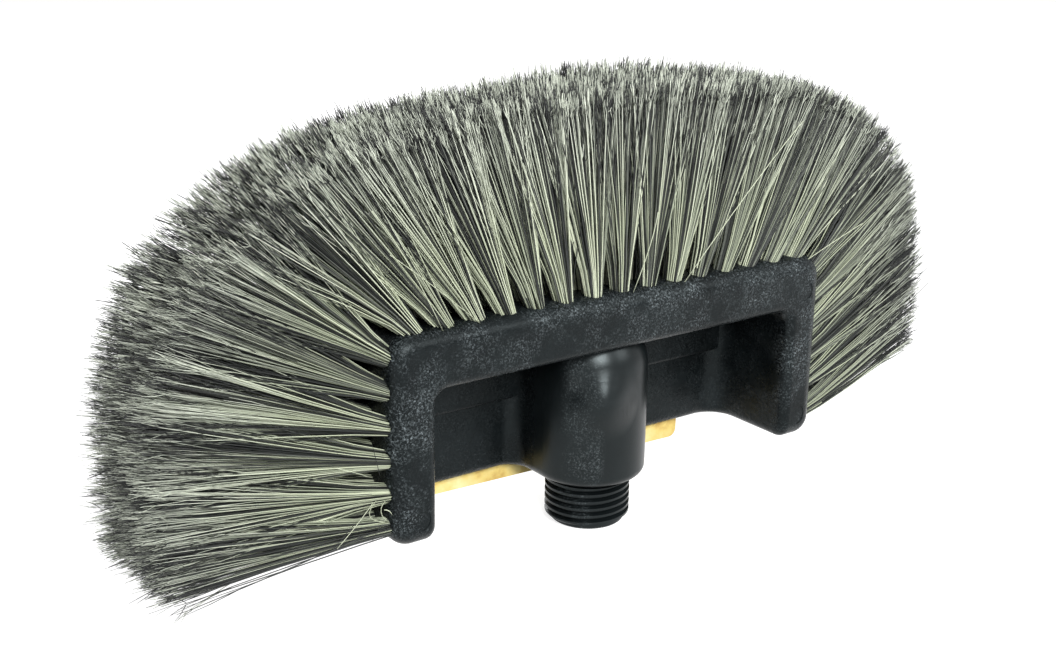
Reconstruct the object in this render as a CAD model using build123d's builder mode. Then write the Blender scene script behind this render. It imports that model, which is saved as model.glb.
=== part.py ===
from build123d import *
import os
from math import atan2, cos, radians, sin

os.makedirs("parts", exist_ok=True)

# Flow-through wash brush head, in millimetres.
# Z is the axis of the threaded nipple and points up, X runs along the head,
# and Y points away from the open side of the head.
# The origin is the centre of the nipple's free end.

# Head moulding
head_length = 127.0
head_depth = 28.8
head_height = 48.4
leg_thickness = 11.0
top_thickness = 13.6
plate_thickness = 3.0
top_corner_radius = 6.0
foot_outer_radius = 5.0
near_edge_radius = 4.0
far_edge_radius = 0.4
inner_edge_radius = 2.4
plate_corner_radius = 6.0
roof_corner_radius = 3.4
ledge_drop = 16.4
ledge_relief = 2.0
ledge_edge_radius = 1.2

# Boss that joins the nipple to the plate and the top wall
boss_radius = 13.9
boss_root_radius = 4.0
boss_shoulder_radius = 12.4
boss_shoulder_rise = 5.0

# Threaded nipple, a half inch pipe thread over a plain pilot
nipple_length = 12.4
pilot_radius = 9.1
pilot_height = 1.2
pilot_edge = 0.3
thread_radius = 10.45
thread_root_radius = 9.3
thread_pitch = 1.814
thread_opening = 1.4
thread_root = 0.3
thread_overcut = 0.23
thread_start_drop = 1.6
thread_start_angle = 51.0
thread_relief = 1.2
relief_radius = 8.8
thread_lead_in = 0.5
bore_radius = 6.75
bore_roof = 10.0
outlet_radius = 1.5

# Round marks of the mould's ejector pins on the near rim
ejector_mark_radius = 2.6
ejector_mark_depth = 0.12
ejector_mark_end_inset = 6.3
ejector_mark_foot_inset = 6.2
ejector_mark_top_inset = 8.8

# Tuft holes, in four rows round the top wall and the two legs
tufts_to_each_side = 7
end_tuft_inset = 6.8
leg_tufts = 6
foot_tuft_inset = 4.9
top_tuft_inset = 4.5
middle_row_offset = 3.6
edge_row_offset = 9.9
hole_radius = 2.25
hole_depth = 7.0

# Tufts of bristle, trimmed to one outline
tuft_radius = 2.15
top_fan_angle = 41.3
top_bend_angle = -3.4
leg_fan_top_angle = 57.0
leg_fan_foot_angle = 86.0
hole_lean_share = 0.95
trim_half_width = 118.7
trim_height = 95.5
trim_widest_height = 24.0
trim_fullness = 2.7
trim_foot_share = 0.035
tip_side_share = 0.42
tuft_collar = 2.2
middle_row_splay = 0.6
edge_row_splay = 1.6
tip_half_depth = 2.75

# The bristles on the right are pressed back, the more the further out they end
row_1_sweep = 8.0
row_2_sweep = 6.4
row_3_sweep = 4.6
row_4_sweep = 3.0
sweep_growth = 3

# Flat wire anchors that hold the tufts in their holes
anchor_width = 5.1
anchor_thickness = 0.5
anchor_height = 1.6
anchor_depth = 6.0

# Yellow strip on the far side of the plate
strip_length = 83.4
strip_height = 20.0
strip_thickness = 3.0
strip_overhang = 4.5
strip_tilt = 1.4
strip_corner_radius = 2.2
strip_edge_radius = 0.5

# How far cutting shapes run past the surface they open, and the margin for picking edges by their place
overrun = 2.0
near_enough = 0.01

# Places worked out from the sizes above
foot_z = nipple_length
top_z = foot_z + head_height
roof_z = top_z - top_thickness
near_y = -head_depth / 2
far_y = head_depth / 2
plate_y = far_y - plate_thickness
half_length = head_length / 2
inner_half_length = half_length - leg_thickness
tuft_pitch = (half_length - end_tuft_inset) / tufts_to_each_side
leg_tuft_pitch = (head_height - foot_tuft_inset - top_tuft_inset) / (leg_tufts - 1)
rows = {
    1: (-edge_row_offset, -edge_row_splay, row_1_sweep),
    2: (-middle_row_offset, -middle_row_splay, row_2_sweep),
    3: (middle_row_offset, middle_row_splay, row_3_sweep),
    4: (edge_row_offset, edge_row_splay, row_4_sweep),
}


def inside_trim(x, z):
    """Whether a point of the row's plane lies inside the outline that the bristles are trimmed to."""
    height = z - foot_z - trim_widest_height
    if height > 0:
        across = (abs(x) / trim_half_width) ** trim_fullness
        up = (height / (trim_height - trim_widest_height)) ** trim_fullness
        return across + up < 1
    drop = height / trim_widest_height
    return abs(x) < trim_half_width * (1 - trim_foot_share * drop**2)


def trimmed_length(x, z, angle):
    """How far a bristle reaches from its hole before it meets the trimmed outline."""
    low, high = 0.0, trim_half_width
    for _ in range(40):
        middle = (low + high) / 2
        if inside_trim(x + middle * sin(angle), z + middle * cos(angle)):
            low = middle
        else:
            high = middle
    return low


def tuft_place(x, z, fan, hole):
    """One tuft of a row: the mouth of its hole, its lean there, and its tip. Angles are from upright."""
    reach = trimmed_length(x, z, fan)
    tip = (x + reach * sin(fan), z + reach * cos(fan))
    return {"mouth": (x, z), "lean": hole, "tip": tip, "fan": fan}


def top_tufts():
    """The tufts of the top wall, from left to right. Past their holes they all bend a little to one side."""
    places = []
    for i in range(-tufts_to_each_side, tufts_to_each_side + 1):
        drilled = radians(top_fan_angle) * i / tufts_to_each_side
        fan = drilled + radians(top_bend_angle)
        places.append(tuft_place(i * tuft_pitch, top_z, fan, drilled * hole_lean_share))
    return places


def leg_tufts_of(side):
    """The tufts of one leg, from its foot up. side is -1 on the left and 1 on the right."""
    places = []
    level = radians(90)
    for i in range(leg_tufts):
        share = i / (leg_tufts - 1)
        fan = radians(leg_fan_foot_angle + (leg_fan_top_angle - leg_fan_foot_angle) * share)
        hole = level + (fan - level) * hole_lean_share
        z = foot_z + foot_tuft_inset + i * leg_tuft_pitch
        places.append(tuft_place(side * half_length, z, side * fan, side * hole))
    return places


groups = {"top": top_tufts(), "left": leg_tufts_of(-1), "right": leg_tufts_of(1)}


def plane_at(x, y, z, angle):
    """A plane square to a bristle that leans by the angle in the XZ plane, with its X along Y."""
    return Plane(origin=(x, y, z), x_dir=(0, 1, 0), z_dir=(sin(angle), 0, cos(angle)))


def mouth_plane(place, y):
    x, z = place["mouth"]
    return plane_at(x, y, z, place["lean"])


def tip_plane(place, y):
    """A plane at the tuft's tip, square to the line from its mouth."""
    (x, z), (tip_x, tip_z) = place["mouth"], place["tip"]
    return plane_at(tip_x, y, tip_z, atan2(tip_x - x, tip_z - z))


def swept_back(place, row_sweep):
    """How far a tuft's tip is bent back."""
    outward = max(0.0, place["tip"][0] / trim_half_width)
    return row_sweep * outward**sweep_growth


def tip_half_side(places, index):
    """Half the width of a tuft's tip along its row, from the distance to its nearest neighbour."""
    x, z = places[index]["tip"]
    beside = [places[i]["tip"] for i in (index - 1, index + 1) if 0 <= i < len(places)]
    gap = min(((x - a) ** 2 + (z - b) ** 2) ** 0.5 for a, b in beside)
    return gap * tip_side_share


# Planes of every hole's bottom and of every anchor
up_from_base = (Align.CENTER, Align.CENTER, Align.MIN)
hole_planes = []
anchor_planes = []
for places in groups.values():
    for offset, _, _ in rows.values():
        for place in places:
            mouth = mouth_plane(place, offset)
            hole_planes.append(mouth.offset(-hole_depth))
            anchor_planes.append(mouth.offset(-anchor_depth))

# Helical groove of the thread, open wide at the crests and narrow at its bottom
groove_height = foot_z - thread_relief / 2 + thread_start_drop
thread_depth = thread_radius - thread_root_radius
with BuildPart() as groove:
    with BuildLine() as path:
        Helix(thread_pitch, groove_height, thread_root_radius, center=(0, 0, -thread_start_drop))
    start = path.line @ 0
    with BuildSketch(Plane(origin=start, x_dir=(1, 0, 0), z_dir=path.line % 0)):
        with BuildLine():
            Polyline(
                (0, -thread_root / 2),
                (thread_depth + thread_overcut, -thread_opening / 2),
                (thread_depth + thread_overcut, thread_opening / 2),
                (0, thread_root / 2),
                close=True,
            )
        make_face()
    sweep(is_frenet=True)

# Threaded nipple, with a relief ring where it meets the boss and a pilot at its free end
with BuildPart() as nipple:
    with BuildSketch(Plane.XY.offset(pilot_height)):
        Circle(thread_radius)
    extrude(amount=nipple_length - pilot_height)
    chamfer(nipple.edges().group_by(Axis.Z)[0], thread_lead_in)
    add(groove.part.rotate(Axis.Z, thread_start_angle), mode=Mode.SUBTRACT)
    with BuildSketch(Plane.XY.offset(foot_z - thread_relief)):
        Circle(boss_radius)
        Circle(relief_radius, mode=Mode.SUBTRACT)
    extrude(amount=thread_relief, mode=Mode.SUBTRACT)
    with BuildSketch(Plane.XY.offset(foot_z)):
        Circle(relief_radius)
    extrude(amount=overrun)
    with BuildSketch():
        Circle(pilot_radius)
    extrude(amount=pilot_height + overrun)
    chamfer(nipple.edges().group_by(Axis.Z)[0], pilot_edge)

# Boss between the nipple and the top wall, its shoulder rounding away under the wall
boss_back_y = plate_y + plate_thickness / 2
with BuildPart() as boss:
    with BuildSketch(Plane.XY.offset(foot_z)):
        Circle(boss_radius)
        with Locations((0, boss_back_y / 2)):
            Rectangle(boss_radius * 2, boss_back_y)
    extrude(amount=roof_z + boss_shoulder_rise - foot_z)
    rims = boss.edges().filter_by(Plane.XY).filter_by_position(Axis.Y, near_y, plate_y)
    fillet(rims.group_by(Axis.Z)[-1], boss_shoulder_radius)

# Hollow between the legs, open towards the near side and below
with BuildPart() as recess:
    with BuildSketch(Plane.XY.offset(foot_z - overrun)) as recess_plan:
        with Locations((0, (near_y - overrun + plate_y) / 2)):
            Rectangle(inner_half_length * 2, plate_y - near_y + overrun)
        fillet(recess_plan.vertices().group_by(Axis.Y)[-1], plate_corner_radius)
    extrude(amount=roof_z - foot_z + overrun)
    with BuildSketch(Plane.XZ.offset(-far_y)) as recess_front:
        with Locations((0, (foot_z - overrun + roof_z) / 2)):
            Rectangle(inner_half_length * 2, roof_z - foot_z + overrun)
        fillet(recess_front.vertices().group_by(Axis.Y)[-1], roof_corner_radius)
    extrude(amount=head_depth + overrun, mode=Mode.INTERSECT)

# Head moulding: a thick top wall and two legs round a recess that a thin plate closes at the back
mid_height = foot_z + head_height / 2
ledge_z = roof_z - ledge_drop
with BuildPart() as head:
    with BuildSketch(Plane.XZ.offset(-far_y)):
        with Locations((0, mid_height)):
            Rectangle(head_length, head_height)
    extrude(amount=head_depth)
    corners = head.edges().filter_by(Axis.Y)
    fillet(corners.group_by(Axis.Z)[-1], top_corner_radius)
    fillet(corners.group_by(Axis.Z)[0], foot_outer_radius)
    fillet(head.edges().group_by(Axis.Y)[0], near_edge_radius)
    fillet(head.edges().group_by(Axis.Y)[-1], far_edge_radius)
    # Recess, with the boss standing in it and one rounding along the whole edge of its mouth
    add(recess.part, mode=Mode.SUBTRACT)
    add(boss.part)
    roots = head.edges().filter_by_position(Axis.Y, plate_y - near_enough, plate_y + near_enough)
    roots = roots.filter_by_position(Axis.X, -boss_radius - near_enough, boss_radius + near_enough)
    fillet(roots, boss_root_radius)
    rim = head.faces().sort_by(Axis.Z)[0].edges()
    inner = rim.filter_by_position(Axis.X, -inner_half_length - near_enough, inner_half_length + near_enough)
    inner = inner.filter_by_position(Axis.Y, near_y, plate_y + near_enough)
    fillet(inner, inner_edge_radius)
    # Ledge under the top wall, standing proud of the plate
    with BuildSketch(Plane.XY.offset(ledge_z)):
        with Locations((0, plate_y)):
            Rectangle(inner_half_length * 2 + overrun, ledge_relief * 2)
    extrude(amount=roof_z - ledge_z)
    ledge_y = plate_y - ledge_relief
    low = head.edges().filter_by_position(Axis.Y, ledge_y - near_enough, ledge_y + near_enough)
    low = low.filter_by_position(Axis.Z, ledge_z - near_enough, ledge_z + near_enough)
    fillet(low, ledge_edge_radius)
    # Ejector marks, near the ends of both legs
    mark_x = half_length - ejector_mark_end_inset
    mark_heights = (foot_z + ejector_mark_foot_inset, top_z - ejector_mark_top_inset)
    with BuildSketch(Plane.XZ.offset(-near_y)):
        with Locations(*[(side * mark_x, z) for side in (-1, 1) for z in mark_heights]):
            Circle(ejector_mark_radius)
    extrude(amount=-ejector_mark_depth, mode=Mode.SUBTRACT)
    add(nipple.part)
    # Water way
    with BuildSketch():
        Circle(bore_radius)
    extrude(amount=top_z - bore_roof, mode=Mode.SUBTRACT)
    with BuildSketch(Plane.XY.offset(top_z)):
        with Locations((-tuft_pitch / 2, 0), (tuft_pitch / 2, 0)):
            Circle(outlet_radius)
    extrude(amount=-bore_roof - overrun, mode=Mode.SUBTRACT)
    # Tuft holes, each with a slot for its anchor
    with Locations(*hole_planes):
        Cylinder(hole_radius, hole_depth + overrun, align=up_from_base, mode=Mode.SUBTRACT)
    with Locations(*anchor_planes):
        Box(anchor_width, anchor_thickness, anchor_height, mode=Mode.SUBTRACT)

head.part.label = "head_block"
export_step(head.part, "parts/head_block.step")

# Tufts and their anchors, one node for each row of each group
for group, places in groups.items():
    for row, (offset, splay, row_sweep) in rows.items():
        mouths = [mouth_plane(place, offset) for place in places]
        seats = [mouth.offset(-anchor_depth) for mouth in mouths]
        with BuildPart() as tufts:
            for index, place in enumerate(places):
                collar = mouths[index].offset(tuft_collar)
                with BuildSketch(collar):
                    Circle(tuft_radius)
                extrude(amount=-hole_depth - tuft_collar)
                with BuildSketch(collar):
                    Circle(tuft_radius)
                with BuildSketch(tip_plane(place, offset + splay + swept_back(place, row_sweep))):
                    Ellipse(tip_half_depth, tip_half_side(places, index))
                loft()
            with Locations(*seats):
                Box(anchor_width, anchor_thickness, anchor_height, mode=Mode.SUBTRACT)
        with BuildPart() as anchors:
            with Locations(*seats):
                Box(anchor_width, anchor_thickness, anchor_height)
        for name, made in ((f"bristle_{group}_row_{row}", tufts), (f"anchors_{group}_row_{row}", anchors)):
            made.part.label = name
            export_step(made.part, f"parts/{name}.step")

# Strip on the far side of the plate, a little out of level
with BuildPart() as strip:
    with BuildSketch(Plane.XZ.offset(-far_y)):
        with Locations((0, foot_z + strip_height / 2 - strip_overhang)):
            RectangleRounded(strip_length, strip_height, strip_corner_radius, rotation=-strip_tilt)
    extrude(amount=-strip_thickness)
    fillet(strip.edges().group_by(Axis.Y)[-1], strip_edge_radius)
strip.part.label = "rub_strip"
export_step(strip.part, "parts/rub_strip.step")
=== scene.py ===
from math import cos, pi, radians, sin

import bpy
import numpy as np
from mathutils import Matrix, Vector


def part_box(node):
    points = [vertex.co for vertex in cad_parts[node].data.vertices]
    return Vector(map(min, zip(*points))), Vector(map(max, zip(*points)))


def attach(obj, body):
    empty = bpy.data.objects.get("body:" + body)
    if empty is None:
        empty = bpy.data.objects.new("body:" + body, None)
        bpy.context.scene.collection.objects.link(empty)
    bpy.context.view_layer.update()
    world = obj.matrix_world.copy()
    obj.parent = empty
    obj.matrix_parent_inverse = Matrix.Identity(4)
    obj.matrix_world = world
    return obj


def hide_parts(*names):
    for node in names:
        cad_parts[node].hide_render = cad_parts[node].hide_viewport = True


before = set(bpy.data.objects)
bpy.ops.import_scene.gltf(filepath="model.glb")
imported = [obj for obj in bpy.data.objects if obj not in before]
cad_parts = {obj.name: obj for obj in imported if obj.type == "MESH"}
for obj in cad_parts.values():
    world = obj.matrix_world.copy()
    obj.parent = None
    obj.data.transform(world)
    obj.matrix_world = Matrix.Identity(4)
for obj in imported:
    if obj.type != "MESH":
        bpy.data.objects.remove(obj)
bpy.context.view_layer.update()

# Sizes of the brush in metres, as its solids have them
head_low, head_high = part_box("head_block")
HALF_HEAD = head_high.x
TOP_Z = head_high.z
NEAR_Y = head_low.y
NIPPLE_LENGTH = 0.0124
TOP_THICKNESS = 0.0136
LEG_THICKNESS = 0.011
BOSS_REACH = 0.0142
ROOF_Z = TOP_Z - TOP_THICKNESS
LEG_INSIDE = HALF_HEAD - LEG_THICKNESS

# Tufts of one row: how many, where the holes are, and how the tufts fan out
TOP_TO_EACH_SIDE = 7
LEG_TUFTS = 6
END_TUFT_INSET = 0.0068
FOOT_TUFT_INSET = 0.0049
TOP_TUFT_INSET = 0.0045
TOP_PITCH = (HALF_HEAD - END_TUFT_INSET) / TOP_TO_EACH_SIDE
LEG_PITCH = (TOP_Z - NIPPLE_LENGTH - FOOT_TUFT_INSET - TOP_TUFT_INSET) / (LEG_TUFTS - 1)
TOP_FAN = radians(41.3)
TOP_BEND = radians(-3.4)
LEG_FAN_FOOT = radians(86.0)
LEG_FAN_TOP = radians(57.0)
HOLE_LEAN_SHARE = 0.95

# Rows of tufts: place in the depth, how far the tips lean out, and how far they are swept on the right
ROWS = {
    1: (-0.0099, -0.0016, 0.0080),
    2: (-0.0036, -0.0006, 0.0064),
    3: (0.0036, 0.0006, 0.0046),
    4: (0.0099, 0.0016, 0.0030),
}
SWEEP_GROWTH = 3

# Outline that the bristles are trimmed to, above the foot of the head
TRIM_HALF_WIDTH = 0.1187
TRIM_HEIGHT = 0.0955
TRIM_WIDEST = 0.0240
TRIM_FULLNESS = 2.7
TRIM_FOOT_SHARE = 0.035
TRIM_HALVINGS = 24

# Filaments of a tuft, the rings along each, and how they taper
FILAMENTS = 150
RING_SHARES = (0.0, 0.08, 0.25, 0.5, 0.75, 0.93, 1.0)
ROOT_DEPTH = 0.0035
BUNDLE_RADIUS = 0.00205
FILAMENT_RADIUS = (0.00013, 0.00019)
TAPER_PLACES = (0, 0.5, 0.9, 1)
TAPER = (1, 0.85, 0.6, 0.33)

# How a tuft opens from its hole to its tips
SPREAD = 1.85
FOOT_GAP_SHARE = 0.45
TIP_HALF_DEPTH = 0.0032
DEPTH_EASE = 1.1
ROOT_HANDLE = 0.15
TIP_HANDLE = 0.35

# The right side is pressed back, so its tufts look shorter and turn up
RIGHT_SHORTFALL = 0.0080
RIGHT_LIFT = radians(13)

# How much the filaments differ by chance
ANGLE_SCATTER = radians(0.35)
DEPTH_SCATTER = 0.0003
SWAY = 0.0004
TUFT_LENGTH_SCATTER = 0.017
LENGTH_LOSS = 0.0004
LENGTH_SCATTER = 0.0009
STRAY_SHARE = 0.025
STRAY_ANGLE = radians(7)
STRAY_DEPTH = 0.002
SHORT_SHARE = 0.06
SHORT_LENGTHS = (0.7, 0.97)
TIP_CURL = {"top": 0.0002, "left": 0.0005, "right": 0.0003}

# Tones: how pale each side is, with the right side's filaments darkened as painted shade, and the clumps of
# filaments that share a tone
PALENESS_AND_PAINTED_SHADE = {"top": 0.97, "left": 0.98, "right": 0.80}
CLUMPS = 40
CLUMPED_SHARE = 0.62
CLUMP_SCATTER = 0.06

# Finer hairs that each filament splits into, and the first and last ring where that happens
SPLIT_HAIRS = 2
SPLIT_FROM = {"top": 5, "left": 3, "right": 4}
SPLIT_LAST = 5
SPLIT_RADIUS = 0.000085
SPLIT_TIP = 0.45
SPLIT_SPREAD = 0.0006
SPLIT_BOW = 0.2
SPLIT_LENGTHS = (-0.45, 0.15)
SPLIT_TONE_SCATTER = 0.1

# Loose hairs over the near side, by group: tone, radius, and three points that each one bends through.
# A point is its place in the photograph's frame, in pixels across and down, and its depth (y).
THIN, THICK = 0.00008, 0.00011
LOOSE_HAIRS = {
    "left": (
        (0.10, THIN, (373, 448, -0.0135), (377, 464, -0.0142), (380, 476, -0.0132)),
        (0.90, THIN, (334, 468, -0.0140), (352, 472, -0.0146), (369, 477, -0.0138)),
        (0.95, THICK, (373, 503, -0.0140), (356, 526, -0.0146), (337, 549, -0.0145)),
        (0.85, THICK, (376, 501, -0.0135), (370, 517, -0.0148), (388, 522, -0.0128)),
        (0.90, THICK, (386, 500, -0.0130), (381, 512, -0.0145), (389, 523, -0.0128)),
        (0.95, THICK, (384, 510, -0.0132), (389, 511, -0.0136), (392, 515, -0.0130)),
        (0.05, THIN, (354, 525, -0.0142), (343, 538, -0.0146), (333, 550, -0.0145)),
        (0.05, THIN, (381, 525, -0.0140), (376, 534, -0.0145), (372, 542, -0.0144)),
    ),
    "top": (
        (0.95, THICK, (684, 283, -0.0125), (749, 191, -0.0150), (803, 121, -0.0145)),
        (0.90, THICK, (633, 293, -0.0125), (650, 246, -0.0145), (658, 212, -0.0145)),
        (0.90, THICK, (804, 262, -0.0125), (838, 239, -0.0145), (863, 223, -0.0145)),
        (0.90, THICK, (443, 331, -0.0125), (408, 263, -0.0148), (372, 211, -0.0145)),
        (0.85, THICK, (481, 324, -0.0125), (433, 286, -0.0148), (390, 255, -0.0145)),
    ),
}

# How far along a filament the bristle material takes a loose hair's end to be
LOOSE_END_SHARE = 0.5

# How many sides the tubes have, and how they lie on the map that the bristle material reads
TUBE_SIDES = 3
MAP_SPAN = 0.98
MAP_STEP = 0.004
MAP_MARGIN = 0.01

# Zones of the head's surface: where each begins and ends, and how far it fades
BOSS_BAND = (-0.0115, -0.0065, 0.0015)
RIM_BAND = (NEAR_Y - 0.001, NEAR_Y + 0.0025, 0.003)
# The band along the rim's top edge gets extra speckle as a painted sheen
TOP_EDGE_SHEEN_BAND = (TOP_Z - 0.0040, TOP_Z - 0.0015, 0.0012)
LEG_FADE = 0.004
BOSS_FADE = 0.0003

# Head's plastic: its colours, how much speckle each zone shows, with extra speckle along the rim's top edge
# as a painted sheen, and how rough, glossy and pitted it is
DARK_PLASTIC = (0.0015, 0.0021, 0.0023)
LIGHT_PLASTIC = (0.006, 0.0082, 0.009)
SPECKLE_AND_SHEEN_COLOUR = (0.24, 0.28, 0.295)
SPECKLE_INSIDE = 0.15
SPECKLE_ON_RIM = 0.55
MORE_ON_LEGS = 0.45
PAINTED_SHEEN_ON_TOP_EDGE = 0.40
SPECKLE_ON_BOSS_BAND = 0.55
ROUGHNESS = (0.20, 0.34)
BOSS_ROUGHNESS = 0.30
SPECKLE_ROUGHNESS = 0.45
GLOSS = 0.14
BOSS_GLOSS = 0.26
GLOSS_TINT = (0.86, 0.98, 1.0, 1.0)
PITTING = (0.3, 1.0)
BOSS_PITTING = 0.05
PIT_DEPTH = 0.0003

# Soft swelling on the near side of the boss
HUMP_MIDDLE = (-0.0050, -0.0128, 0.0336)
HUMP_RADIUS = 0.0095
HUMP_HEIGHT = 0.0024

# Camera of the photograph, and the photograph's size in pixels
CAMERA_PLACE = Vector((-0.2128, -0.2655, 0.1572))
CAMERA_TURN = radians(36.20)
CAMERA_TILT = radians(17.75)
CAMERA_ROLL = radians(0.863)
CAMERA_LENS = 50.82
SENSOR_WIDTH = 36.0
CAMERA_CLIP = 0.01
PHOTO_WIDTH = 1058
PHOTO_HEIGHT = 655

# Studio: the floor, the light from all round, and the lamps with their places, sizes and watts
FLOOR_HALF = 6.0
FLOOR_TONE = 0.5
FLOOR_GLOW = 0.75
WORLD_LIGHT = 0.25
LAMP_TARGET = Vector((0, 0, 0.05))
LAMPS = {
    "key": ((-0.28, -1.0, 0.68), 0.5, 20.0),
    "side": ((0.6, -0.85, 0.62), 0.5, 4.0),
    "top": ((0.0, -0.1, 1.2), 0.8, 3.5),
    "back": ((0.25, 0.95, 0.6), 0.6, 7.0),
}


def node(tree, kind, **inputs):
    """A new shader node with its inputs set by name."""
    made = tree.nodes.new(kind)
    for key, value in inputs.items():
        made.inputs[key.replace("_", " ")].default_value = value
    return made


def new_material(name):
    """A material with its tree and its Principled shader."""
    material = bpy.data.materials.new(name)
    material.use_nodes = True
    tree = material.node_tree
    return material, tree, tree.nodes["Principled BSDF"]


def ramp(tree, source, stops):
    """A colour ramp through the stops (place, colour), fed by the source socket."""
    made = tree.nodes.new("ShaderNodeValToRGB")
    elements = made.color_ramp.elements
    while len(elements) < len(stops):
        elements.new(0.5)
    for element, (place, colour) in zip(elements, stops):
        element.position = place
        element.color = (*colour, 1.0)
    tree.links.new(source, made.inputs["Fac"])
    return made.outputs["Color"]


def grey(value):
    """A colour as grey as the value."""
    return (value, value, value)


def grey_socket(tree, value):
    """A colour socket as grey as the value."""
    made = tree.nodes.new("ShaderNodeCombineXYZ")
    for socket in made.inputs:
        tree.links.new(value, socket)
    return made.outputs["Vector"]


def mixed(tree, blend, factor, first, second):
    """Two colours mixed. Each may be a socket or a colour, and the factor a socket or a number."""
    made = tree.nodes.new("ShaderNodeMix")
    made.data_type = "RGBA"
    made.blend_type = blend
    # The node has sockets for numbers and vectors too, so those for colours are taken by their places
    sockets = {"Factor": made.inputs[0], "A": made.inputs[6], "B": made.inputs[7]}
    for key, value in (("Factor", factor), ("A", first), ("B", second)):
        if isinstance(value, bpy.types.NodeSocket):
            tree.links.new(value, sockets[key])
        elif key == "Factor":
            sockets[key].default_value = value
        else:
            sockets[key].default_value = (*value, 1.0)
    return made.outputs[2]


def noise(tree, place, scale, detail=4.0, roughness=0.5, distortion=0.0):
    """A cloudy pattern over the place. The scale is about how many clouds fit in a metre."""
    made = tree.nodes.new("ShaderNodeTexNoise")
    made.inputs["Scale"].default_value = scale
    made.inputs["Detail"].default_value = detail
    made.inputs["Roughness"].default_value = roughness
    made.inputs["Distortion"].default_value = distortion
    tree.links.new(place, made.inputs["Vector"])
    return made.outputs["Fac"]


def calculate(tree, operation, first, second=0.0):
    """The result of an operation on two values. Each may be a socket or a number."""
    made = tree.nodes.new("ShaderNodeMath")
    made.operation = operation
    for socket, value in zip(made.inputs, (first, second)):
        if isinstance(value, bpy.types.NodeSocket):
            tree.links.new(value, socket)
        else:
            socket.default_value = value
    return made.outputs["Value"]


def within(tree, value, low, high, soft):
    """1 where the value lies between low and high, fading to 0 over the soft distance on each side."""
    rise = tree.nodes.new("ShaderNodeMapRange")
    rise.inputs["From Min"].default_value = low - soft
    rise.inputs["From Max"].default_value = low
    tree.links.new(value, rise.inputs["Value"])
    fall = tree.nodes.new("ShaderNodeMapRange")
    fall.inputs["From Min"].default_value = high + soft
    fall.inputs["From Max"].default_value = high
    tree.links.new(value, fall.inputs["Value"])
    return calculate(tree, "MULTIPLY", rise.outputs["Result"], fall.outputs["Result"])


def hump(tree, place, middle, radius, height):
    """The height of a soft round swelling about a point."""
    apart = tree.nodes.new("ShaderNodeVectorMath")
    apart.operation = "DISTANCE"
    tree.links.new(place, apart.inputs[0])
    apart.inputs[1].default_value = middle
    rise = tree.nodes.new("ShaderNodeMapRange")
    rise.interpolation_type = "SMOOTHSTEP"
    rise.inputs["From Min"].default_value = radius
    rise.inputs["From Max"].default_value = 0.0
    rise.inputs["To Max"].default_value = height
    tree.links.new(apart.outputs["Value"], rise.inputs["Value"])
    return rise.outputs["Result"]


def boss_zone(tree, x, y, z):
    """1 on the boss and the nipple, up to the roof, and 0 elsewhere."""
    squares = calculate(tree, "ADD", calculate(tree, "MULTIPLY", x, x), calculate(tree, "MULTIPLY", y, y))
    near_axis = within(tree, calculate(tree, "SQRT", squares), -BOSS_REACH, BOSS_REACH, BOSS_FADE)
    return calculate(tree, "MULTIPLY", near_axis, within(tree, z, 0.0, ROOF_Z, BOSS_FADE))


def speckle_and_sheen_amount(tree, x, y, z, on_boss):
    """How much speckle shows: most on the near rim's legs, and in a band down the boss, with extra along the
    rim's top edge as a painted sheen.
    """
    legs = calculate(tree, "SUBTRACT", 1.0, within(tree, x, -LEG_INSIDE, LEG_INSIDE, LEG_FADE))
    on_legs = calculate(tree, "MULTIPLY", legs, MORE_ON_LEGS)
    painted_sheen_on_top_edge = calculate(tree, "MULTIPLY", within(tree, z, *TOP_EDGE_SHEEN_BAND), PAINTED_SHEEN_ON_TOP_EDGE)
    on_rim = calculate(tree, "ADD", SPECKLE_ON_RIM, calculate(tree, "MAXIMUM", on_legs, painted_sheen_on_top_edge))
    rim = calculate(tree, "MULTIPLY", within(tree, y, *RIM_BAND), on_rim)
    off_boss = calculate(tree, "ADD", SPECKLE_INSIDE, rim)
    boss_band = calculate(tree, "MULTIPLY", within(tree, x, *BOSS_BAND), SPECKLE_ON_BOSS_BAND)
    return mixed(tree, "MIX", on_boss, grey_socket(tree, off_boss), grey_socket(tree, boss_band))


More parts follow.
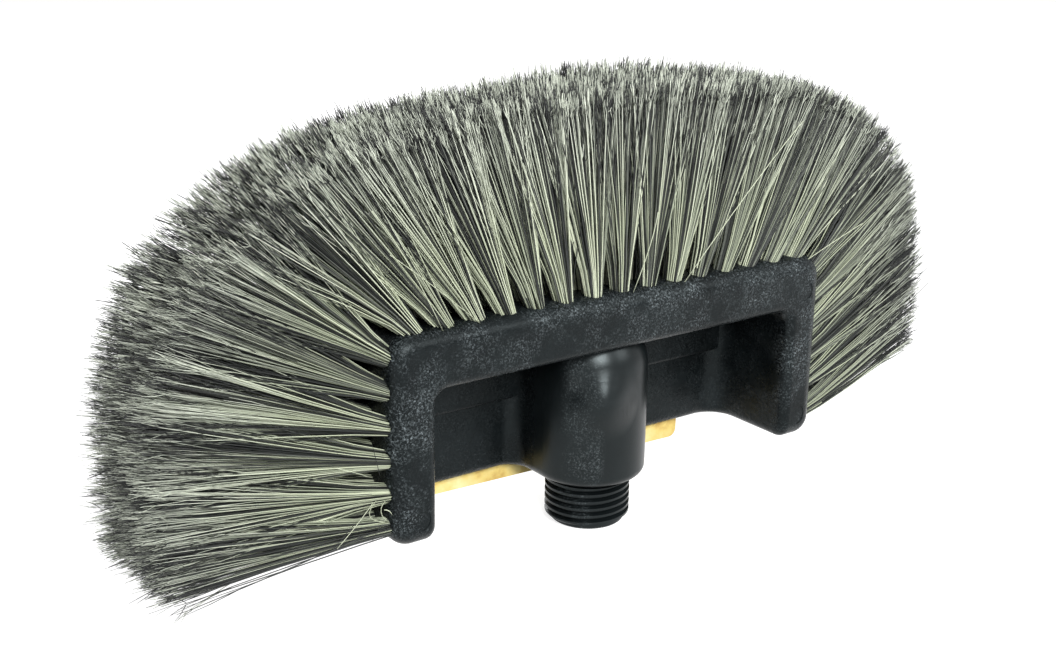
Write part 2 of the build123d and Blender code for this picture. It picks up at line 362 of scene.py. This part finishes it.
def head_material():
    """Black moulded plastic: a pale speckle in patches, pits in the rim, and a smoother boss, with more
    speckle along the rim's top edge as a painted sheen.
    """
    material, tree, shader = new_material("head_plastic")
    place = tree.nodes.new("ShaderNodeTexCoord").outputs["Object"]
    split = tree.nodes.new("ShaderNodeSeparateXYZ")
    tree.links.new(place, split.inputs["Vector"])
    x, y, z = (split.outputs[axis] for axis in "XYZ")
    on_boss = boss_zone(tree, x, y, z)

    # Colour
    patches = noise(tree, place, 95.0, detail=5.0, roughness=0.65)
    patches = ramp(tree, patches, [(0.40, grey(0.06)), (0.60, grey(1.0))])
    grain = noise(tree, place, 2100.0, detail=5.0, roughness=0.75, distortion=0.5)
    grain = ramp(tree, grain, [(0.50, grey(0.0)), (0.60, grey(0.35)), (0.72, grey(1.0))])
    amount = speckle_and_sheen_amount(tree, x, y, z, on_boss)
    # The speckle also paints a sheen along the rim's top edge
    speckle = mixed(tree, "MULTIPLY", 1.0, mixed(tree, "MULTIPLY", 1.0, patches, grain), amount)
    cloud = noise(tree, place, 60.0, detail=5.0, roughness=0.6)
    cloud = ramp(tree, cloud, [(0.3, DARK_PLASTIC), (0.7, LIGHT_PLASTIC)])
    tree.links.new(mixed(tree, "MIX", speckle, cloud, SPECKLE_AND_SHEEN_COLOUR), shader.inputs["Base Color"])

    # Gloss
    low, high = ROUGHNESS
    dull = ramp(tree, noise(tree, place, 300.0), [(0.35, grey(low)), (0.70, grey(high))])
    rough = mixed(tree, "MIX", on_boss, dull, grey(BOSS_ROUGHNESS))
    rough = mixed(tree, "MIX", speckle, rough, grey(SPECKLE_ROUGHNESS))
    tree.links.new(rough, shader.inputs["Roughness"])
    gloss = mixed(tree, "MIX", on_boss, grey(GLOSS), grey(BOSS_GLOSS))
    tree.links.new(gloss, shader.inputs["Specular IOR Level"])
    shader.inputs["Specular Tint"].default_value = GLOSS_TINT

    # Relief
    swell = node(tree, "ShaderNodeBump", Strength=1.0, Distance=1.0)
    tree.links.new(hump(tree, place, HUMP_MIDDLE, HUMP_RADIUS, HUMP_HEIGHT), swell.inputs["Height"])
    bump = node(tree, "ShaderNodeBump", Distance=PIT_DEPTH)
    tree.links.new(noise(tree, place, 900.0, detail=6.0, roughness=0.65), bump.inputs["Height"])
    low, high = PITTING
    pitted = ramp(tree, patches, [(0.0, grey(low)), (1.0, grey(high))])
    tree.links.new(mixed(tree, "MIX", on_boss, pitted, grey(BOSS_PITTING)), bump.inputs["Strength"])
    tree.links.new(swell.outputs["Normal"], bump.inputs["Normal"])
    tree.links.new(bump.outputs["Normal"], shader.inputs["Normal"])
    return material


def bristle_material():
    """Pale and near black filaments: the map holds their tone across, and the place along them upwards."""
    material, tree, shader = new_material("bristle")
    uv = tree.nodes.new("ShaderNodeUVMap")
    uv.uv_map = "OFBake"
    split = tree.nodes.new("ShaderNodeSeparateXYZ")
    tree.links.new(uv.outputs["UV"], split.inputs["Vector"])
    stem = ramp(tree, split.outputs["X"], [
        (0.00, (0.012, 0.014, 0.013)),
        (0.36, (0.030, 0.034, 0.031)),
        (0.46, (0.12, 0.13, 0.11)),
        (0.54, (0.27, 0.30, 0.22)),
        (0.80, (0.45, 0.49, 0.35)),
        (1.00, (0.60, 0.64, 0.49)),
    ])
    tip = ramp(tree, split.outputs["X"], [
        (0.00, (0.010, 0.011, 0.011)),
        (0.44, (0.028, 0.030, 0.029)),
        (0.55, (0.30, 0.325, 0.27)),
        (1.00, (0.68, 0.72, 0.61)),
    ])
    towards_tip = ramp(tree, split.outputs["Y"], [(0.45, grey(0.0)), (0.9, grey(1.0))])
    colour = mixed(tree, "MIX", towards_tip, stem, tip)
    tree.links.new(colour, shader.inputs["Base Color"])
    shader.inputs["Roughness"].default_value = 0.45
    shader.inputs["Specular IOR Level"].default_value = 0.4
    return material


def strip_material():
    """Yellow rubber, mottled."""
    material, tree, shader = new_material("strip_rubber")
    place = tree.nodes.new("ShaderNodeTexCoord").outputs["Object"]
    colour = ramp(tree, noise(tree, place, 110.0, detail=5.0, roughness=0.6), [
        (0.32, (0.46, 0.27, 0.06)),
        (0.45, (0.68, 0.52, 0.16)),
        (0.70, (0.76, 0.69, 0.36)),
    ])
    tree.links.new(colour, shader.inputs["Base Color"])
    shader.inputs["Roughness"].default_value = 0.6
    return material


def wire_material():
    """Galvanised anchor wire."""
    material, tree, shader = new_material("anchor_wire")
    place = tree.nodes.new("ShaderNodeTexCoord").outputs["Object"]
    colour = ramp(tree, noise(tree, place, 900.0), [(0.3, grey(0.5)), (0.7, grey(0.66))])
    tree.links.new(colour, shader.inputs["Base Color"])
    shader.inputs["Metallic"].default_value = 1.0
    shader.inputs["Roughness"].default_value = 0.4
    return material


def outside_trim(x, z):
    """Where points of the row's plane lie outside the trimmed outline."""
    height = z - NIPPLE_LENGTH - TRIM_WIDEST
    across = (np.abs(x) / TRIM_HALF_WIDTH) ** TRIM_FULLNESS
    up = (np.maximum(height, 0.0) / (TRIM_HEIGHT - TRIM_WIDEST)) ** TRIM_FULLNESS
    above = across + up > 1
    below = np.abs(x) > TRIM_HALF_WIDTH * (1 - TRIM_FOOT_SHARE * (height / TRIM_WIDEST) ** 2)
    return np.where(height > 0, above, below)


def reach(x, z, angle):
    """How far filaments go from their mouths at their angles from upright before they meet the outline."""
    low, high = np.zeros_like(angle), np.full_like(angle, TRIM_HALF_WIDTH)
    for _ in range(TRIM_HALVINGS):
        middle = (low + high) / 2
        out = outside_trim(x + middle * np.sin(angle), z + middle * np.cos(angle))
        high = np.where(out, middle, high)
        low = np.where(out, low, middle)
    return low


def row_of_tufts():
    """A row's tufts from the left foot to the right foot: group, mouth x and z, fan and the hole's lean."""
    tufts = []
    for side, group in ((-1, "left"), (1, "right")):
        for i in range(LEG_TUFTS):
            fan = LEG_FAN_FOOT + (LEG_FAN_TOP - LEG_FAN_FOOT) * i / (LEG_TUFTS - 1)
            hole = pi / 2 + (fan - pi / 2) * HOLE_LEAN_SHARE
            z = NIPPLE_LENGTH + FOOT_TUFT_INSET + i * LEG_PITCH
            tufts.append((group, side * HALF_HEAD, z, side * fan, side * hole))
    for i in range(-TOP_TO_EACH_SIDE, TOP_TO_EACH_SIDE + 1):
        drilled = TOP_FAN * i / TOP_TO_EACH_SIDE
        tufts.append(("top", i * TOP_PITCH, TOP_Z, drilled + TOP_BEND, drilled * HOLE_LEAN_SHARE))
    return sorted(tufts, key=lambda tuft: tuft[3])


def half_gaps(tufts):
    """For each tuft, half the angle between its fan and the tips of the tufts before and after it."""
    x, z, fan = (np.array([tuft[i] for tuft in tufts]) for i in (1, 2, 3))
    length = reach(x, z, fan)
    tip_x, tip_z = x + length * np.sin(fan), z + length * np.cos(fan)
    after = fan[:-1] - np.arctan2(tip_x[1:] - x[:-1], tip_z[1:] - z[:-1])
    before = fan[1:] - np.arctan2(tip_x[:-1] - x[1:], tip_z[:-1] - z[1:])
    after, before = np.abs(after) / 2, np.abs(before) / 2
    return list(zip([after[0] * FOOT_GAP_SHARE, *before], [*after, before[-1] * FOOT_GAP_SHARE]))


def in_disc(rng, count):
    """Random places in a disc of radius 1."""
    radius = np.sqrt(rng.random(count))
    turn = rng.random(count) * 2 * pi
    return radius * np.cos(turn), radius * np.sin(turn)


def trimmed_lengths(rng, root, angle):
    """The filaments' lengths to the trimmed outline, each a little off it, and a few short."""
    length = reach(root[:, 0], root[:, 1], angle) * rng.normal(1, TUFT_LENGTH_SCATTER)
    length = length + rng.normal(-LENGTH_LOSS, LENGTH_SCATTER, FILAMENTS)
    short = rng.random(FILAMENTS) < SHORT_SHARE
    return np.where(short, length * rng.uniform(*SHORT_LENGTHS, FILAMENTS), length)


def tuft_paths(rng, tuft, gaps, offset, splay, sweep):
    """The centre lines of a tuft's filaments, as an array (filament, ring, xyz), and their tones."""
    group, mouth_x, mouth_z, fan, hole = tuft
    if group == "right":
        fan = fan - RIGHT_LIFT * (fan - LEG_FAN_TOP) / (LEG_FAN_FOOT - LEG_FAN_TOP)
    side, depth = in_disc(rng, FILAMENTS)
    lean = np.array([sin(hole), cos(hole)])
    across = np.array([cos(hole), -sin(hole)])
    root = np.array([mouth_x, mouth_z]) + side[:, None] * across * BUNDLE_RADIUS
    stray = rng.random(FILAMENTS) < STRAY_SHARE
    angle = fan + side * np.where(side < 0, *gaps) * SPREAD + rng.normal(0, ANGLE_SCATTER, FILAMENTS)
    angle = angle + np.where(stray, rng.normal(0, STRAY_ANGLE, FILAMENTS), 0)
    length = trimmed_lengths(rng, root, angle)
    ahead = np.stack([np.sin(angle), np.cos(angle)], 1)
    outward = np.clip((root + length[:, None] * ahead)[:, 0] / TRIM_HALF_WIDTH, 0, 1) ** SWEEP_GROWTH
    length = length - outward * RIGHT_SHORTFALL
    tip = root + length[:, None] * ahead
    tip_y = offset + splay + depth * TIP_HALF_DEPTH + rng.normal(0, DEPTH_SCATTER, FILAMENTS)
    tip_y = tip_y + sweep * outward + np.where(stray, rng.normal(0, STRAY_DEPTH, FILAMENTS), 0)

    # Each filament is a cubic curve from the hole to its tip, straight where it leaves and where it ends
    start = root - lean * ROOT_DEPTH
    hand_one = root + lean * (length * ROOT_HANDLE)[:, None]
    hand_two = tip - ahead * (length * TIP_HANDLE)[:, None] + rng.normal(0, SWAY, (FILAMENTS, 2))
    t = np.array(RING_SHARES)[None, :, None]
    plane = (
        (1 - t) ** 3 * start[:, None]
        + 3 * (1 - t) ** 2 * t * hand_one[:, None]
        + 3 * (1 - t) * t**2 * hand_two[:, None]
        + t**3 * tip[:, None]
    )
    along = t[..., 0]
    ease = along**DEPTH_EASE
    root_y = offset + depth * BUNDLE_RADIUS
    y = root_y[:, None] * (1 - ease) + tip_y[:, None] * ease
    y = y + np.sin(along * pi) * rng.normal(0, SWAY, (FILAMENTS, 1))
    paths = np.stack([plane[..., 0], y, plane[..., 1]], 2)
    curl = rng.normal(0, TIP_CURL[group], (2, FILAMENTS, 3))
    paths[:, -2] += curl[0] / 2
    paths[:, -1] += curl[0] + curl[1]
    # The right side's tones are scaled down as painted shade
    return paths, clumped_tones(rng, side, depth) * PALENESS_AND_PAINTED_SHADE[group]


def clumped_tones(rng, side, depth):
    """Tones from 0 to 1, alike among filaments that stand together."""
    clump_side, clump_depth = in_disc(rng, CLUMPS)
    nearest = np.argmin((side[:, None] - clump_side) ** 2 + (depth[:, None] - clump_depth) ** 2, axis=1)
    shared = rng.random(CLUMPS)[nearest]
    own = rng.random(len(side))
    clumped = rng.random(len(side)) < CLUMPED_SHARE
    return np.where(clumped, np.clip(shared + rng.normal(0, CLUMP_SCATTER, len(side)), 0, 1), own)


def split_paths(rng, paths, first_ring):
    """Finer hairs near the filaments' tips, as an array (hair, ring, xyz), and where they start."""
    hairs, starts = [], []
    everyone = np.arange(len(paths))
    for _ in range(SPLIT_HAIRS):
        ring = rng.integers(first_ring, SPLIT_LAST + 1, len(paths))
        start, end = paths[everyone, ring], paths[:, -1]
        spread = rng.normal(0, SPLIT_SPREAD, end.shape)
        tip = end + (end - paths[:, -2]) * rng.uniform(*SPLIT_LENGTHS, (len(paths), 1)) + spread
        hairs.append(np.stack([start, (start + tip) / 2 + spread * SPLIT_BOW, tip], 1))
        starts.append(np.array(RING_SHARES)[ring])
    return np.concatenate(hairs), np.concatenate(starts)


def split_tubes(rng, paths, tones, first_ring):
    """The tubes of the finer hairs."""
    hairs, starts = split_paths(rng, paths, first_ring)
    hair_tones = np.clip(np.tile(tones, SPLIT_HAIRS) + rng.normal(0, SPLIT_TONE_SCATTER, len(hairs)), 0, 1)
    places = np.stack([starts, (starts + 1) / 2, np.ones(len(hairs))], 1)
    radii = np.tile([SPLIT_RADIUS, SPLIT_RADIUS, SPLIT_RADIUS * SPLIT_TIP], (len(hairs), 1))
    return tube_arrays(hairs, radii, hair_tones, places)


def camera_axes():
    """Where the camera's right, its up and its view point, from its turn, tilt and roll."""
    level = cos(CAMERA_TILT)
    ahead = Vector((sin(CAMERA_TURN) * level, cos(CAMERA_TURN) * level, -sin(CAMERA_TILT)))
    right = Vector((cos(CAMERA_TURN), -sin(CAMERA_TURN), 0))
    up = right.cross(ahead)
    rolled_right = right * cos(CAMERA_ROLL) + up * sin(CAMERA_ROLL)
    rolled_up = up * cos(CAMERA_ROLL) - right * sin(CAMERA_ROLL)
    return rolled_right, rolled_up, ahead


def on_photo(across, down, depth):
    """The place at a depth (y) that shows at a pixel of the photograph."""
    right, up, ahead = camera_axes()
    pixel = SENSOR_WIDTH / PHOTO_WIDTH / CAMERA_LENS
    sight = ahead + right * (across - PHOTO_WIDTH / 2) * pixel - up * (down - PHOTO_HEIGHT / 2) * pixel
    return CAMERA_PLACE + sight * (depth - CAMERA_PLACE.y) / sight.y


def loose_tubes(group):
    """The tubes of a group's loose hairs, each an arc through its three points."""
    hairs = LOOSE_HAIRS[group]
    tones, thick = (np.array([hair[i] for hair in hairs]) for i in (0, 1))
    first, bend, last = (np.array([on_photo(*hair[i]) for hair in hairs])[:, None] for i in (2, 3, 4))
    t = np.linspace(0, 1, len(RING_SHARES))[None, :, None]
    control = bend * 2 - (first + last) / 2
    paths = (1 - t) ** 2 * first + 2 * (1 - t) * t * control + t**2 * last
    shape = (len(hairs), len(RING_SHARES))
    places = np.broadcast_to(np.array(RING_SHARES) * LOOSE_END_SHARE, shape)
    return tube_arrays(paths, np.broadcast_to(thick[:, None], shape), tones, places)


def tube_arrays(paths, radii, tones, places):
    """Closed tubes along the paths: points, quads, caps, and each point's place on the map."""
    count, rings = paths.shape[:2]
    along = np.gradient(paths, axis=1)
    along /= np.linalg.norm(along, axis=2, keepdims=True)
    side = np.cross(along, np.array([0.0, 1.0, 0.0]))
    side /= np.linalg.norm(side, axis=2, keepdims=True)
    other = np.cross(along, side)
    corners = np.arange(TUBE_SIDES)
    turns = corners * 2 * pi / TUBE_SIDES
    ring = np.cos(turns)[:, None] * side[:, :, None] + np.sin(turns)[:, None] * other[:, :, None]
    points = (paths[:, :, None] + ring * radii[:, :, None, None]).reshape(-1, 3)
    first = np.arange(count) * rings * TUBE_SIDES
    base = first[:, None, None] + (np.arange(rings - 1) * TUBE_SIDES)[None, :, None]
    above = base + TUBE_SIDES
    following = (corners + 1) % TUBE_SIDES
    quads = np.stack([base + corners, base + following, above + following, above + corners], 3).reshape(-1, 4)
    last = first + (rings - 1) * TUBE_SIDES
    caps = np.concatenate([first[:, None] + corners[::-1], last[:, None] + corners])
    across = np.repeat(tones * MAP_SPAN + MAP_STEP, rings * TUBE_SIDES)
    across = across + np.tile(corners * MAP_STEP, count * rings)
    upward = MAP_MARGIN + MAP_SPAN * np.repeat(places.ravel(), TUBE_SIDES)
    return points, quads, caps, np.stack([across, upward], 1)


def tube_mesh(name, bundles):
    """One mesh of several bundles of tubes, with their map."""
    mesh = bpy.data.meshes.new(name)
    points = np.concatenate([bundle[0] for bundle in bundles])
    starts = np.cumsum([0] + [len(bundle[0]) for bundle in bundles[:-1]])
    quads = np.concatenate([bundle[1] + start for bundle, start in zip(bundles, starts)])
    caps = np.concatenate([bundle[2] + start for bundle, start in zip(bundles, starts)])
    mesh.vertices.add(len(points))
    mesh.vertices.foreach_set("co", points.ravel().astype(np.float32))
    corners = np.concatenate([quads.ravel(), caps.ravel()]).astype(np.int32)
    mesh.loops.add(len(corners))
    mesh.loops.foreach_set("vertex_index", corners)
    sizes = np.concatenate([np.full(len(quads), 4), np.full(len(caps), 3)]).astype(np.int32)
    mesh.polygons.add(len(sizes))
    mesh.polygons.foreach_set("loop_start", (np.cumsum(sizes) - sizes).astype(np.int32))
    mesh.polygons.foreach_set("loop_total", sizes)
    uv = mesh.uv_layers.new(name="OFBake")
    places = np.concatenate([bundle[3] for bundle in bundles])[corners]
    uv.data.foreach_set("uv", places.ravel().astype(np.float32))
    mesh.update()
    mesh.validate()
    mesh.polygons.foreach_set("use_smooth", np.ones(len(mesh.polygons), dtype=bool))
    return mesh


def bristle_row(group, row, tufts, material):
    """The filaments of one row of tufts, with their split tips."""
    rng = np.random.default_rng(sum(map(ord, group)) * 10 + row)
    grown = [tuft_paths(rng, tuft, gaps, *ROWS[row]) for tuft, gaps in tufts]
    paths = np.concatenate([paths for paths, _ in grown])
    tones = np.concatenate([tones for _, tones in grown])
    radii = rng.uniform(*FILAMENT_RADIUS, len(paths))[:, None] * np.interp(RING_SHARES, TAPER_PLACES, TAPER)
    bundles = [tube_arrays(paths, radii, tones, np.tile(RING_SHARES, (len(paths), 1)))]
    bundles.append(split_tubes(rng, paths, tones, SPLIT_FROM[group]))
    if row == 1 and group in LOOSE_HAIRS:
        bundles.append(loose_tubes(group))
    name = f"bristle_{group}_row_{row}"
    piece = bpy.data.objects.new(f"filaments_{group}_row_{row}", tube_mesh(name, bundles))
    bpy.context.scene.collection.objects.link(piece)
    piece.data.materials.append(material)
    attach(piece, "root")
    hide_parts(name)


def dress(name, material):
    """A CAD node shown with the given material."""
    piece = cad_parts[name]
    piece.data.materials.clear()
    piece.data.materials.append(material)


def make_camera():
    """The photograph's camera."""
    right, up, ahead = camera_axes()
    matrix = Matrix((right, up, -ahead)).transposed().to_4x4()
    matrix.translation = CAMERA_PLACE
    data = bpy.data.cameras.new("camera")
    data.lens = CAMERA_LENS
    data.sensor_width = SENSOR_WIDTH
    data.clip_start = CAMERA_CLIP
    camera = bpy.data.objects.new("camera", data)
    camera.matrix_world = matrix
    bpy.context.scene.collection.objects.link(camera)
    bpy.context.scene.camera = camera


def seen_directly(tree):
    """1 where the camera, a gloss or a glass looks, and 0 for the light that surfaces pass on."""
    path = tree.nodes.new("ShaderNodeLightPath").outputs
    gloss_or_glass = calculate(tree, "MAXIMUM", path["Is Glossy Ray"], path["Is Transmission Ray"])
    return calculate(tree, "MAXIMUM", path["Is Camera Ray"], gloss_or_glass)


def make_floor():
    """A white floor under the nipple, with a faint shadow of the brush."""
    mesh = bpy.data.meshes.new("floor")
    corners = [(x * FLOOR_HALF, y * FLOOR_HALF, 0) for x, y in ((-1, -1), (1, -1), (1, 1), (-1, 1))]
    mesh.from_pydata(corners, [], [(0, 1, 2, 3)])
    floor = bpy.data.objects.new("floor", mesh)
    bpy.context.scene.collection.objects.link(floor)
    material, tree, shader = new_material("floor")
    shader.inputs["Base Color"].default_value = (*grey(FLOOR_TONE), 1)
    shader.inputs["Roughness"].default_value = 0.9
    shader.inputs["Emission Color"].default_value = (1, 1, 1, 1)
    glow = calculate(tree, "MULTIPLY", seen_directly(tree), FLOOR_GLOW)
    tree.links.new(glow, shader.inputs["Emission Strength"])
    mesh.materials.append(material)


def area_light(name, place, size, power):
    """A soft lamp that points at the middle of the brush."""
    data = bpy.data.lights.new(name, "AREA")
    data.size = size
    data.energy = power
    lamp = bpy.data.objects.new(name, data)
    lamp.location = place
    lamp.rotation_euler = (LAMP_TARGET - Vector(place)).to_track_quat("-Z", "Y").to_euler()
    bpy.context.scene.collection.objects.link(lamp)


def make_world():
    """White where it is seen, and a soft low light for the brush."""
    world = bpy.data.worlds.new("studio")
    bpy.context.scene.world = world
    world.use_nodes = True
    tree = world.node_tree
    background = tree.nodes["Background"]
    level = tree.nodes.new("ShaderNodeMapRange")
    level.inputs["To Min"].default_value = WORLD_LIGHT
    level.inputs["To Max"].default_value = 1.0
    tree.links.new(seen_directly(tree), level.inputs["Value"])
    tree.links.new(level.outputs["Result"], background.inputs["Strength"])
    background.inputs["Color"].default_value = (1, 1, 1, 1)


dress("head_block", head_material())
dress("rub_strip", strip_material())
bristle = bristle_material()
wire = wire_material()
row_tufts = row_of_tufts()
spaced_tufts = list(zip(row_tufts, half_gaps(row_tufts)))
for group in ("top", "left", "right"):
    group_tufts = [(tuft, gaps) for tuft, gaps in spaced_tufts if tuft[0] == group]
    for row in ROWS:
        bristle_row(group, row, group_tufts, bristle)
        dress(f"anchors_{group}_row_{row}", wire)

make_camera()
make_floor()
make_world()
for name, (place, size, power) in LAMPS.items():
    area_light(name, place, size, power)
bpy.context.scene.view_settings.view_transform = "Standard"
